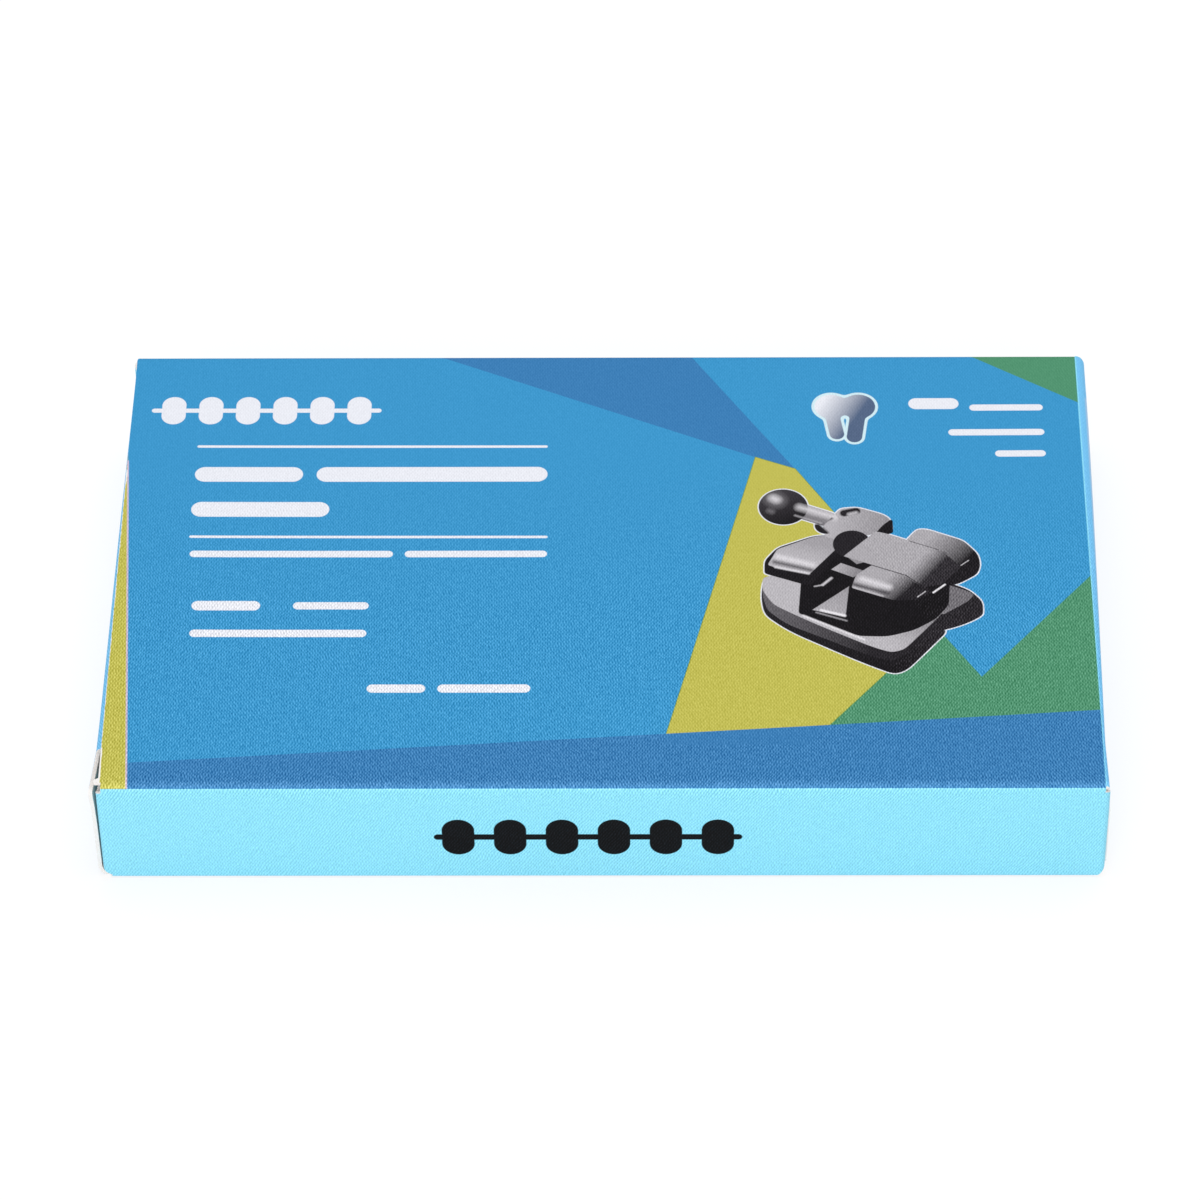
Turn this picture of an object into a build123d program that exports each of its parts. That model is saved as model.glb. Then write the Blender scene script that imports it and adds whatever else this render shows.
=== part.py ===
from build123d import *
from math import acos, cos, degrees, radians, sin
import os

# Flat folding carton with a tuck lid at each end, closed and lying on its large back panel.
# One sheet of card makes the sleeve with its glue flap and its four dust flaps. The left lid
# stands up from the bottom panel and tucks in under the top panel. The right lid hangs from
# the top panel and tucks in over the bottom panel, so the carton looks the same when it is
# turned half round about its own depth.
# +X runs along the carton to the right end, +Y runs to the back and +Z is up. The origin is
# the middle of the underside. All sizes are in millimetres.

# Outside of the closed carton
length = 100.0  # over the outer faces of both lids
depth = 60.5  # over the front and back panels
height = 13.0  # from the underside to the top panel's outer face

# Card and its creases
card = 0.4  # thickness of the board
crease_radius = 0.6  # outside radius of the sleeve's and dust flaps' creases
lid_crease_radius = 1.0  # outside radius of the softer crease that a lid swings on
tab_crease_radius = 0.7  # outside radius of the crease between a lid and its tab
crease_slit = 0.04  # line along a lid's crease where the lid parts from its panel

# Lids and their tuck tabs
lid_gap = 0.2  # between a closed lid and the dust flaps behind it
lid_side_clearance = 0.5  # how far a lid's side edge stays inside the carton's depth
lid_edge_drop = 1.0  # how far a lid's raw edge stays below the panel that it meets
lid_corner_radius = 0.9  # rounding of the raw edge's outer corners
slit_lock_length = 5.4  # slit along the crease at each end, which leaves a raw edge
slit_width = 0.2  # from the lid's wall to the part of the tab that is slit from it
tab_side_inset = 0.8  # how far the tab's side lies inside the lid's side
tab_length = 9.0  # along the card, from the crease to the tip
tab_side_taper = 0.9  # how much narrower the tab is at its tip, on each side
tab_corner_radius = 5.5
tab_clearance = 0.2  # between the swinging tab and the panel that it slides under

# Dust flaps
dust_flap_length = 21.0  # from the side panel's outer face towards the middle
dust_flap_foot_gap = 0.9  # clear height at the lid's crease
dust_flap_head_gap = 0.2  # between the flap's heel, at its crease, and the panel
dust_flap_tab_gap = 0.3  # between the flap's shoulder and the swinging tab
heel_gap = 0.2  # between the flap's heel and the side of the tab
shoulder_length = 5.7  # from the side panel's outer face to the end of the shoulder
shoulder_step = 0.9  # height from the shoulder down to the long edge
shoulder_slope = 0.8  # run of that step
dust_flap_taper = 1.2  # how much each long edge slopes in along the flap
dust_flap_corner_radius = 2.5

# Free edges of the large panels, glue flap and its seam
free_edge_setback = 0.5  # from a lid's inner face to the panel edge that it tucks under
free_edge_corner_radius = 0.3
corner_relief = 0.3  # cut back beside a crease at each corner of the sleeve
glue_flap_width = 9.0  # along the card, up the inside of the back panel
glue_flap_end_gap = 0.3  # from the sleeve's end to the flap's foot
glue_flap_taper = 3.5  # how much each end slopes in on its way up
seam_edge_height = 0.3  # from the underside to the back panel's raw edge

# Places that follow from the sizes
half_depth = depth / 2
lid_inner_x = length / 2 - card
dust_flap_x = lid_inner_x - lid_gap
sleeve_end_x = dust_flap_x - crease_radius
free_edge_x = lid_inner_x - free_edge_setback
half_lid_width = half_depth - lid_side_clearance
half_crease_width = half_lid_width - slit_lock_length
half_tab_width = half_lid_width - tab_side_inset
crease_mid_radius = crease_radius - card / 2
lap = 2 * card  # how far one fold of the card is drawn into the next
turn_axis = Axis((0, 0, height / 2), (0, 1, 0))

# The left lid turns about a line on the outside of its crease, half-way round the bend
crease_middle = 45  # degrees round the bend
crease_centre_x = lid_crease_radius - length / 2
crease_centre_z = lid_crease_radius
hinge_x = crease_centre_x - lid_crease_radius * cos(radians(crease_middle))
hinge_z = crease_centre_z - lid_crease_radius * sin(radians(crease_middle))
half_slit_angle = degrees(crease_slit / 2 / lid_crease_radius)

# The tab is curled round the hinge line, so that it slides out under the panel's edge
tab_outer_radius = height - card - tab_clearance - hinge_z
tab_inner_radius = tab_outer_radius - card
tab_tip_angle = 90 - degrees(tab_length / tab_outer_radius)
tab_outer_root_angle = degrees(acos((-length / 2 - hinge_x) / tab_outer_radius))
tab_inner_root_angle = degrees(acos((-lid_inner_x - hinge_x) / tab_inner_radius))
tab_tip_x = hinge_x + tab_outer_radius * cos(radians(tab_tip_angle))
tab_crease_z = hinge_z + tab_outer_radius - tab_crease_radius

# Sleeve: front panel, top panel, back panel and bottom panel, open along the glued seam
back_mid_y = half_depth - card / 2
glue_flap_mid_y = back_mid_y - card
top_mid_z = height - card / 2
bottom_mid_z = card / 2
with BuildPart() as sleeve:
    with BuildSketch(Plane.YZ):
        with BuildLine():
            FilletPolyline(
                (back_mid_y, seam_edge_height),
                (back_mid_y, top_mid_z),
                (-back_mid_y, top_mid_z),
                (-back_mid_y, bottom_mid_z),
                (glue_flap_mid_y - crease_mid_radius, bottom_mid_z),
                radius=crease_mid_radius,
            )
        trace(line_width=card)
    extrude(amount=sleeve_end_x, both=True)

# Glue flap: creased up from the bottom panel and glued inside the back panel
glue_flap_foot_x = sleeve_end_x - glue_flap_end_gap
with BuildPart() as glue_flap:
    with BuildSketch(Plane.YZ):
        with BuildLine():
            FilletPolyline(
                (glue_flap_mid_y - 2 * crease_radius, bottom_mid_z),
                (glue_flap_mid_y, bottom_mid_z),
                (glue_flap_mid_y, glue_flap_width),
                radius=crease_mid_radius,
            )
        trace(line_width=card)
    extrude(amount=glue_flap_foot_x, both=True)
    with BuildSketch(Plane.XZ):
        with BuildLine():
            Polyline(
                (-glue_flap_foot_x, 0),
                (glue_flap_foot_x, 0),
                (glue_flap_foot_x - glue_flap_taper, glue_flap_width),
                (glue_flap_taper - glue_flap_foot_x, glue_flap_width),
                close=True,
            )
        make_face()
    extrude(amount=-depth, mode=Mode.INTERSECT)

# Crease strip: the bottom panel's share of the bend that the left lid swings on
with BuildPart() as crease_strip:
    with BuildSketch(Plane.XZ):
        with BuildLine():
            outside = CenterArc(
                (crease_centre_x, crease_centre_z),
                lid_crease_radius,
                270,
                half_slit_angle - crease_middle,
            )
            inside = CenterArc(
                (crease_centre_x, crease_centre_z),
                lid_crease_radius - card,
                270,
                half_slit_angle - crease_middle,
            )
            Line(outside @ 1, inside @ 1)
            Line(inside @ 0, (-sleeve_end_x, card))
            Line((-sleeve_end_x, card), (-sleeve_end_x, 0))
            Line((-sleeve_end_x, 0), outside @ 0)
        make_face()
    extrude(amount=half_lid_width, both=True)

# Free edge of the top panel, which the left lid tucks in under
half_free_edge = half_depth - crease_radius - corner_relief
with BuildPart() as free_edge:
    with BuildSketch(Plane.XY.offset(height - card)):
        with BuildLine():
            Polyline(
                (lap - sleeve_end_x, -half_free_edge),
                (-free_edge_x, -half_free_edge),
                (-free_edge_x, half_free_edge),
                (lap - sleeve_end_x, half_free_edge),
                close=True,
            )
        make_face()
    extrude(amount=card)
    fillet(free_edge.edges().filter_by(Axis.Z).group_by(Axis.X)[0], free_edge_corner_radius)

# Dust flap: creased in from the front panel, with a heel at its crease, a shoulder below
# the slit end of the tab and then a lower, tapered edge
flap_root_y = card / 2 - half_depth
flap_tip_y = dust_flap_length - half_depth
heel_y = -half_tab_width - heel_gap
heel_z = height - card - dust_flap_head_gap
shoulder_end_y = shoulder_length - half_depth
flap_back_x = card - dust_flap_x
shoulder_z = hinge_z + (
    (tab_inner_radius - dust_flap_tab_gap) ** 2 - (flap_back_x - hinge_x) ** 2
) ** 0.5
long_edge_z = shoulder_z - shoulder_step
with BuildPart() as dust_flap:
    with BuildSketch(Plane.XY):
        with BuildLine():
            FilletPolyline(
                (lap - sleeve_end_x, flap_root_y),
                (card / 2 - dust_flap_x, flap_root_y),
                (card / 2 - dust_flap_x, flap_tip_y),
                radius=crease_mid_radius,
            )
        trace(line_width=card)
    extrude(amount=height)
    with BuildSketch(Plane.YZ) as flap_outline:
        with BuildLine():
            Polyline(
                (-half_depth, dust_flap_foot_gap),
                (flap_tip_y, dust_flap_foot_gap + dust_flap_taper),
                (flap_tip_y, long_edge_z - dust_flap_taper),
                (shoulder_end_y + shoulder_slope, long_edge_z),
                (shoulder_end_y, shoulder_z),
                (heel_y, shoulder_z),
                (heel_y - heel_gap, heel_z),
                (-half_depth, heel_z),
                close=True,
            )
        make_face()
        fillet(
            flap_outline.vertices().group_by(Axis.X)[-1], dust_flap_corner_radius
        )
    extrude(amount=-length, mode=Mode.INTERSECT)

# Carton body: both ends are alike, turned half round
with BuildPart() as left_end:
    add(crease_strip.part)
    add(free_edge.part)
    add(dust_flap.part)
    add(mirror(dust_flap.part, about=Plane.XZ, mode=Mode.PRIVATE))

with BuildPart() as carton_body:
    add(sleeve.part)
    add(glue_flap.part)
    add(left_end.part)
    add(left_end.part.rotate(turn_axis, 180))

# Tuck tab of the left lid: creased in from the lid and curled under the top panel
half_tip_width = half_tab_width - tab_side_taper
slit_edge_x = slit_width - lid_inner_x
with BuildPart() as tuck_tab:
    with BuildSketch(Plane.XZ) as tab_section:
        with BuildLine():
            outer_curl = CenterArc(
                (hinge_x, hinge_z),
                tab_outer_radius,
                tab_tip_angle,
                tab_outer_root_angle - tab_tip_angle,
            )
            inner_curl = CenterArc(
                (hinge_x, hinge_z),
                tab_inner_radius,
                tab_tip_angle,
                tab_inner_root_angle - tab_tip_angle,
            )
            Polyline(
                outer_curl @ 1,
                (-length / 2, tab_crease_z - lap),
                (-lid_inner_x, tab_crease_z - lap),
                inner_curl @ 1,
            )
            Line(inner_curl @ 0, outer_curl @ 0)
        make_face()
        fillet(
            tab_section.vertices().sort_by_distance(outer_curl @ 1)[0], tab_crease_radius
        )
        fillet(
            tab_section.vertices().sort_by_distance(inner_curl @ 1)[0],
            tab_crease_radius - card,
        )
    extrude(amount=half_tab_width, both=True)
    with BuildSketch(Plane.XY) as tab_plan:
        with BuildLine():
            Polyline(
                (-length / 2, -half_crease_width),
                (slit_edge_x, -half_crease_width),
                (slit_edge_x, -half_tab_width),
                (tab_tip_x, -half_tip_width),
                (tab_tip_x, half_tip_width),
                (slit_edge_x, half_tab_width),
                (slit_edge_x, half_crease_width),
                (-length / 2, half_crease_width),
                close=True,
            )
        make_face()
        fillet(tab_plan.vertices().group_by(Axis.X)[-1], tab_corner_radius)
    extrude(amount=height, mode=Mode.INTERSECT)

# Left lid: its share of the crease, its wall with a raw edge at each end, and its tab
raw_edge_z = height - lid_edge_drop
with BuildPart() as left_lid:
    with BuildSketch(Plane.XZ):
        with BuildLine():
            bend_outside = CenterArc(
                (crease_centre_x, crease_centre_z),
                lid_crease_radius,
                180,
                crease_middle - half_slit_angle,
            )
            bend_inside = CenterArc(
                (crease_centre_x, crease_centre_z),
                lid_crease_radius - card,
                180,
                crease_middle - half_slit_angle,
            )
            Line(bend_outside @ 0, bend_inside @ 0)
            Line(bend_outside @ 1, bend_inside @ 1)
        make_face()
    extrude(amount=half_lid_width, both=True)
    with BuildSketch(Plane.YZ.offset(-length / 2)) as wall_outline:
        with BuildLine():
            Polyline(
                (-half_lid_width, crease_centre_z),
                (-half_lid_width, raw_edge_z),
                (-half_crease_width, raw_edge_z),
                (-half_crease_width, tab_crease_z),
                (half_crease_width, tab_crease_z),
                (half_crease_width, raw_edge_z),
                (half_lid_width, raw_edge_z),
                (half_lid_width, crease_centre_z),
                close=True,
            )
        make_face()
        top_corners = wall_outline.vertices().group_by(Axis.Y)[-1]
        fillet(
            [top_corners.sort_by(Axis.X)[0], top_corners.sort_by(Axis.X)[-1]],
            lid_corner_radius,
        )
    extrude(amount=card)
    add(tuck_tab.part)

right_lid = left_lid.part.rotate(turn_axis, 180)

# One file for each separate piece
os.makedirs("parts", exist_ok=True)
carton_body.part.label = "carton_body"
left_lid.part.label = "left_tuck_lid"
right_lid.label = "right_tuck_lid"
export_step(carton_body.part, "parts/carton_body.step")
export_step(left_lid.part, "parts/left_tuck_lid.step")
export_step(right_lid, "parts/right_tuck_lid.step")
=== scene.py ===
from math import hypot, pi, radians, sin, tan

import bmesh
import bpy
from mathutils import Matrix, Vector
from mathutils.geometry import delaunay_2d_cdt


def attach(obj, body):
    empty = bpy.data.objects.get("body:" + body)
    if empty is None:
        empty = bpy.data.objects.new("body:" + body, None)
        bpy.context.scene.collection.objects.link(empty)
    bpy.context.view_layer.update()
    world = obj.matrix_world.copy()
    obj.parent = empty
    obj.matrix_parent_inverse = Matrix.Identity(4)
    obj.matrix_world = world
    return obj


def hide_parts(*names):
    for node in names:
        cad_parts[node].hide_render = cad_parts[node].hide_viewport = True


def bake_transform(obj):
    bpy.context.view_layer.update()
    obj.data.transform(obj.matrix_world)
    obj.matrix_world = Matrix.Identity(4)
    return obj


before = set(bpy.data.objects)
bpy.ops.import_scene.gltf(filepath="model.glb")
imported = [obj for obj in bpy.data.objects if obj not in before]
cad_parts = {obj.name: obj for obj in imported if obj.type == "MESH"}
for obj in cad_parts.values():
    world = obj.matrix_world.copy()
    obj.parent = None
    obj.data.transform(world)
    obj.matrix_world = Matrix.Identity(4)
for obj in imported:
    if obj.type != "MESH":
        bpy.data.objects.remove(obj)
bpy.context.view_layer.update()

# The camera stands in front of the carton and looks down on it from well above, a little
# from the right. Its place was worked out from the carton's six outer corners.
camera_data = bpy.data.cameras.new("camera")
camera_data.sensor_fit = "HORIZONTAL"
camera_data.sensor_width = 36
camera_data.lens = 167.6
camera_data.clip_start = 0.01
camera_data.clip_end = 20
camera = bpy.data.objects.new("camera", camera_data)
bpy.context.scene.collection.objects.link(camera)
looks_down = radians(46.652)
turned_round = radians(-1.018)
rolled = radians(0.828)
aim_across = -0.000474
aim_up = 0.005305
camera_distance = 0.5736
camera.matrix_world = (
    Matrix.Rotation(-turned_round, 4, "Z")
    @ Matrix.Rotation(radians(90) - looks_down, 4, "X")
    @ Matrix.Translation((aim_across, aim_up, camera_distance))
    @ Matrix.Rotation(-rolled, 4, "Z")
)
bpy.context.scene.camera = camera
bpy.context.scene.view_settings.view_transform = "Standard"

# Carton body: one sheet of white-lined card, printed outside, cut flat and then creased round
# the top, front, bottom and back panels, with a glue flap inside the back panel and two dust
# flaps at each end. It is cut here as a flat blank, in millimetres, and folded crease by crease.
card = 0.4
depth = 60.5
height = 13.0
crease_radius = 0.6
crease_bend = crease_radius * pi / 2
base_radius = 0.45
base_bend = base_radius * pi / 2
half_top = depth / 2 - crease_radius
wall_start = half_top + crease_bend
wall_end = wall_start + height - crease_radius - base_radius
base_start = wall_end + base_bend
base_end = base_start + depth - base_radius - crease_radius - card
glue_start = base_end + crease_bend
glue_end = glue_start + 8.4
back_edge = wall_start + height - crease_radius - 0.3
flap_start = 48.9
flap_bent = flap_start + crease_bend
left_flap_start = 48.98
left_flap_radius = 0.45
lid_start = 49.0
free_edge = 49.17
flap_fold_angle = radians(95)
flap_length = 20.4
flap_head_radius = 2.5
bend_steps = 8
crease_lead = 0.35
printed_side = 0
edge_side = 1
inside_side = 2
clip_side = 3


def on_wall(z):
    """Where a height on a side panel lies on the sheet, from the middle of the top panel."""
    return wall_start + height - crease_radius - z


def end_flap(side, row):
    """Corners of a dust flap from its foot to its head, at that end and on that panel."""
    corners = [
        (flap_bent, 1.35, 0),
        (flap_bent + flap_length, 2.1, flap_head_radius),
        (flap_bent + flap_length, 9.58, flap_head_radius),
        (flap_bent + 5.9, 10.78, 0),
        (flap_bent + 5.1, 11.68, 0),
        (flap_bent + 0.5, 11.68, 0),
        (flap_bent + 0.1, 12.0, 0),
        (flap_start, 12.45, 0),
    ]
    return [(side * u, row * on_wall(z), radius) for u, z, radius in corners]


def rounded(corners, steps=6):
    """The points of an outline whose corners are given as x, y and the radius of rounding."""
    points = []
    befores = corners[-1:] + corners[:-1]
    afters = corners[1:] + corners[:1]
    for before, corner, after in zip(befores, corners, afters):
        here = Vector(corner[:2])
        radius = corner[2]
        if not radius:
            points.append(here)
            continue
        back = (Vector(before[:2]) - here).normalized()
        onward = (Vector(after[:2]) - here).normalized()
        half_angle = back.angle(onward) / 2
        centre = here + (back + onward).normalized() * radius / sin(half_angle)
        first = here + back * radius / tan(half_angle) - centre
        last = here + onward * radius / tan(half_angle) - centre
        for step in range(steps + 1):
            points.append(centre + first.lerp(last, step / steps).normalized() * radius)
    return points


def creased(start, bend):
    """Lines to cut along a crease, so that it bends in small steps with a short lead each side."""
    lines = [start + bend * step / bend_steps for step in range(bend_steps + 1)]
    return [start - crease_lead, *lines, start + bend + crease_lead]


def cut_blank(name, outline, lines_u, lines_v):
    """A flat sheet of card with that outline, cut along lines across u and across v. Its top
    is the printed face. Every corner remembers its flat place, and every face its side."""
    past_near = -120
    past_far = 60
    past_ends = 80
    corners = list(outline)
    lines = []
    for u in lines_u:
        lines.append((len(corners), len(corners) + 1))
        corners += [Vector((u, past_near)), Vector((u, past_far))]
    for v in lines_v:
        lines.append((len(corners), len(corners) + 1))
        corners += [Vector((-past_ends, v)), Vector((past_ends, v))]
    whole_face = [list(range(len(outline)))]
    inside_only = 1
    merge_within = 1e-4
    cut = delaunay_2d_cdt(corners, lines, whole_face, inside_only, merge_within)
    places, _, triangles, _, _, sources = cut
    bm = bmesh.new()
    made = [bm.verts.new((u * 0.001, v * 0.001, 0)) for u, v in places]
    for triangle, source in zip(triangles, sources):
        if source:
            bm.faces.new([made[corner] for corner in triangle])
    loose = [corner for corner in bm.verts if not corner.link_faces]
    bmesh.ops.delete(bm, geom=loose, context="VERTS")
    lower = bmesh.ops.extrude_face_region(bm, geom=bm.faces[:], use_keep_orig=True)["geom"]
    for corner in lower:
        if isinstance(corner, bmesh.types.BMVert):
            corner.co.z -= card * 0.001
    bmesh.ops.recalc_face_normals(bm, faces=bm.faces[:])
    side = bm.faces.layers.int.new("side")
    for face in bm.faces:
        up = face.normal.z
        face[side] = printed_side if up > 0.5 else inside_side if up < -0.5 else edge_side
    blank = bm.verts.layers.float_vector.new("blank")
    for corner in bm.verts:
        corner[blank] = corner.co
    mesh = bpy.data.meshes.new(name)
    bm.to_mesh(mesh)
    bm.free()
    sheet = bpy.data.objects.new(name, mesh)
    bpy.context.scene.collection.objects.link(sheet)
    return sheet


def add_node(tree, kind, inputs=(), **settings):
    """A node with its settings. An input is given a plain value or the socket that feeds it."""
    node = tree.nodes.new(kind)
    for setting, value in settings.items():
        setattr(node, setting, value)
    for place, value in dict(inputs).items():
        if isinstance(value, bpy.types.NodeSocket):
            tree.links.new(value, node.inputs[place])
        else:
            node.inputs[place].default_value = value
    return node


def number(tree, operation, *values):
    return add_node(tree, "ShaderNodeMath", dict(enumerate(values)), operation=operation).outputs[0]


def remembered(tree, name, kind):
    """What each corner or face of the sheet remembers under that name."""
    node = add_node(tree, "GeometryNodeInputNamedAttribute", {"Name": name}, data_type=kind)
    return node.outputs["Attribute"]


def held(tree, value):
    """A value held between nought and one. A Math node's own clamp would make the print's big
    tree keep too much at once."""
    return number(tree, "MINIMUM", number(tree, "MAXIMUM", value, 0), 1)


def vector(tree, operation, *values):
    node = add_node(tree, "ShaderNodeVectorMath", dict(enumerate(values)), operation=operation)
    return node.outputs["Value" if operation in ("DOT_PRODUCT", "LENGTH", "DISTANCE") else "Vector"]


def scaled(tree, direction, size):
    node = add_node(tree, "ShaderNodeVectorMath", {0: direction, "Scale": size}, operation="SCALE")
    return node.outputs["Vector"]


# One crease: what lies past its start rolls round a cylinder of the crease's outside radius,
# towards the unprinted side, until it has turned through the angle of the fold.
crease_group = bpy.data.node_groups.new("crease", "GeometryNodeTree")
crease_group.interface.new_socket("Sheet", in_out="OUTPUT", socket_type="NodeSocketGeometry")
for label, kind in (
    ("Sheet", "NodeSocketGeometry"),
    ("Part", "NodeSocketBool"),
    ("Towards", "NodeSocketVector"),
    ("Start", "NodeSocketFloat"),
    ("Radius", "NodeSocketFloat"),
    ("Angle", "NodeSocketFloat"),
):
    crease_group.interface.new_socket(label, in_out="INPUT", socket_type=kind)
given = crease_group.nodes.new("NodeGroupInput").outputs
flat_place = remembered(crease_group, "blank", "FLOAT_VECTOR")
bend_length = number(crease_group, "MULTIPLY", given["Radius"], given["Angle"])
along_sheet = vector(crease_group, "DOT_PRODUCT", flat_place, given["Towards"])
past_start = number(crease_group, "SUBTRACT", along_sheet, given["Start"])
share = held(crease_group, number(crease_group, "DIVIDE", past_start, bend_length))
angle = number(crease_group, "MULTIPLY", share, given["Angle"])
rolled_on = number(crease_group, "MULTIPLY", share, bend_length)
contact_at = number(crease_group, "ADD", given["Start"], rolled_on)
contact = scaled(crease_group, given["Towards"], contact_at)
turned = add_node(
    crease_group,
    "ShaderNodeVectorRotate",
    {
        "Vector": crease_group.nodes.new("GeometryNodeInputPosition").outputs[0],
        "Center": contact,
        "Axis": vector(crease_group, "CROSS_PRODUCT", given["Towards"], (0, 0, -1)),
        "Angle": angle,
    },
    rotation_type="AXIS_ANGLE",
).outputs[0]
reach = number(
    crease_group,
    "SUBTRACT",
    number(crease_group, "MULTIPLY", given["Radius"], number(crease_group, "SINE", angle)),
    rolled_on,
)
drop = number(
    crease_group,
    "MULTIPLY",
    given["Radius"],
    number(crease_group, "SUBTRACT", number(crease_group, "COSINE", angle), 1),
)
drawn_in = vector(
    crease_group,
    "ADD",
    scaled(crease_group, given["Towards"], reach),
    add_node(crease_group, "ShaderNodeCombineXYZ", {"Z": drop}).outputs[0],
)
bent = add_node(
    crease_group,
    "GeometryNodeSetPosition",
    {
        "Geometry": given["Sheet"],
        "Selection": given["Part"],
        "Position": vector(crease_group, "ADD", turned, drawn_in),
    },
)
given_back = crease_group.nodes.new("NodeGroupOutput")
crease_group.links.new(bent.outputs[0], given_back.inputs[0])


def fold(sheet, folds, finishes):
    """Folds a flat blank along its creases, the outermost first, lifts it to its height and
    gives its printed face, cut edges and inside their finishes. Returns it as a plain mesh."""
    tree = bpy.data.node_groups.new(sheet.name + " folds", "GeometryNodeTree")
    tree.interface.new_socket("Sheet", in_out="OUTPUT", socket_type="NodeSocketGeometry")
    tree.interface.new_socket("Sheet", in_out="INPUT", socket_type="NodeSocketGeometry")
    sizes = {"Height": height * 0.001}
    for label, _, start, radius, angle, _ in folds:
        sizes[label + " start"] = start * 0.001
        sizes[label + " radius"] = radius * 0.001
        sizes[label + " angle"] = angle
    for label in sizes:
        tree.interface.new_socket(label, in_out="INPUT", socket_type="NodeSocketFloat")
    given = tree.nodes.new("NodeGroupInput").outputs
    geometry = given["Sheet"]
    for label, towards, _, _, _, part in folds:
        crease = tree.nodes.new("GeometryNodeGroup")
        crease.node_tree = crease_group
        crease.inputs["Towards"].default_value = towards
        crease.inputs["Part"].default_value = True
        if part:
            chosen = remembered(tree, part, "FLOAT")
            above = add_node(tree, "FunctionNodeCompare", {0: chosen, 1: 0.5})
            tree.links.new(above.outputs[0], crease.inputs["Part"])
        for word in ("start", "radius", "angle"):
            tree.links.new(given[label + " " + word], crease.inputs[word.capitalize()])
        tree.links.new(geometry, crease.inputs["Sheet"])
        geometry = crease.outputs[0]
    lifted = add_node(tree, "ShaderNodeCombineXYZ", {"Z": given["Height"]}).outputs[0]
    raised = add_node(tree, "GeometryNodeSetPosition", {"Geometry": geometry, "Offset": lifted})
    whole = add_node(tree, "GeometryNodeRealizeInstances", {"Geometry": raised.outputs[0]})
    geometry = whole.outputs[0]
    for place, finish in enumerate(finishes):
        side = remembered(tree, "side", "INT")
        this_side = add_node(
            tree, "FunctionNodeCompare", {2: side, 3: place}, data_type="INT", operation="EQUAL"
        )
        geometry = add_node(
            tree,
            "GeometryNodeSetMaterial",
            {"Geometry": geometry, "Selection": this_side.outputs[0], "Material": finish},
        ).outputs[0]
    tree.links.new(geometry, tree.nodes.new("NodeGroupOutput").inputs[0])
    modifier = sheet.modifiers.new("folds", "NODES")
    modifier.node_group = tree
    for item in tree.interface.items_tree:
        if item.in_out == "INPUT" and item.name in sizes:
            modifier[item.identifier] = sizes[item.name]
    for finish in finishes:
        sheet.data.materials.append(finish)
    bpy.context.view_layer.update()
    evaluated = sheet.evaluated_get(bpy.context.evaluated_depsgraph_get())
    folded = bpy.data.meshes.new_from_object(evaluated)
    sheet.modifiers.remove(modifier)
    folded.name = sheet.name
    sheet.data = folded
    return sheet


def smooth_creases(sheet):
    """Shades the rolled creases smoothly and keeps the cut edges sharp."""
    sharp_angle = radians(40)
    bm = bmesh.new()
    bm.from_mesh(sheet.data)
    for face in bm.faces:
        face.smooth = True
    for edge in bm.edges:
        edge.smooth = edge.calc_face_angle(0) < sharp_angle
    bm.to_mesh(sheet.data)
    bm.free()


# The print: flat fields of ink, laid out in millimetres on the flat sheet with the middle of
# the top panel at nought. The top and bottom panels are sky blue and the front and back panels
# pale cyan. The lids are printed the same pale cyan but are given a darker, bluer colour
# between the two, as painted shade for the dimmer light that falls on them.
def ink_colour(red, green, blue):
    """A colour as a paint chart gives it, from 0 to 255."""
    return tuple(((c / 255 + 0.055) / 1.055) ** 2.4 for c in (red, green, blue)) + (1,)


sky_blue = ink_colour(57, 148, 201)
pale_cyan = ink_colour(143, 222, 246)
# The lids' pale cyan with painted shade: darker and bluer than the front panel's.
lid_cyan_with_painted_shade = ink_colour(119, 196, 243)
deep_blue = ink_colour(56, 123, 179)
leaf_green = ink_colour(78, 144, 109)
olive_yellow = ink_colour(190, 185, 83)
olive_shade = ink_colour(112, 146, 62)
paper_white = ink_colour(240, 238, 236)
white_ink = ink_colour(230, 232, 240)
pink_line = ink_colour(205, 186, 205)
black_ink = ink_colour(3, 7, 12)

printed_card = bpy.data.materials.new("printed card face")
printed_card.use_nodes = True
art = printed_card.node_tree
art.nodes.clear()
blank_place = add_node(art, "ShaderNodeAttribute", attribute_name="blank").outputs["Vector"]
place = add_node(
    art,
    "ShaderNodeVectorMath",
    {0: blank_place, 1: (1000, 1000, 0), 2: (0, 0, 1)},
    operation="MULTIPLY_ADD",
).outputs[0]
mirrored_place = vector(art, "ABSOLUTE", place)


def field(corners, softness=0.0, where=None):
    """How far inside a straight-sided field a place lies. Its corners go round anticlockwise."""
    inside = None
    for (x0, y0), (x1, y1) in zip(corners, corners[1:] + corners[:1]):
        run = x1 - x0
        rise = y1 - y0
        size = hypot(run, rise)
        side = (-rise / size, run / size, (rise * x0 - run * y0) / size)
        distance = vector(art, "DOT_PRODUCT", where or place, side)
        if inside is None:
            inside = distance
        elif softness:
            inside = number(art, "SMOOTH_MIN", inside, distance, softness)
        else:
            inside = number(art, "MINIMUM", inside, distance)
    return inside


def oblong(left, right, near, far, where=None):
    """A field with square corners."""
    return field([(left, near), (right, near), (right, far), (left, far)], where=where)


def bar(start, end, half_width):
    """How far inside a round-ended bar a place lies."""
    run = (end[0] - start[0], end[1] - start[1], 0)
    size = hypot(run[0], run[1])
    from_start = vector(art, "SUBTRACT", place, (start[0], start[1], 1))
    run_share = (run[0] / size**2, run[1] / size**2, 0)
    share = held(art, vector(art, "DOT_PRODUCT", from_start, run_share))
    away = vector(art, "SUBTRACT", from_start, scaled(art, run, share))
    return number(art, "SUBTRACT", half_width, vector(art, "LENGTH", away))


def disc(centre, radius):
    return number(art, "SUBTRACT", radius, vector(art, "DISTANCE", place, (centre[0], centre[1], 1)))


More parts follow.
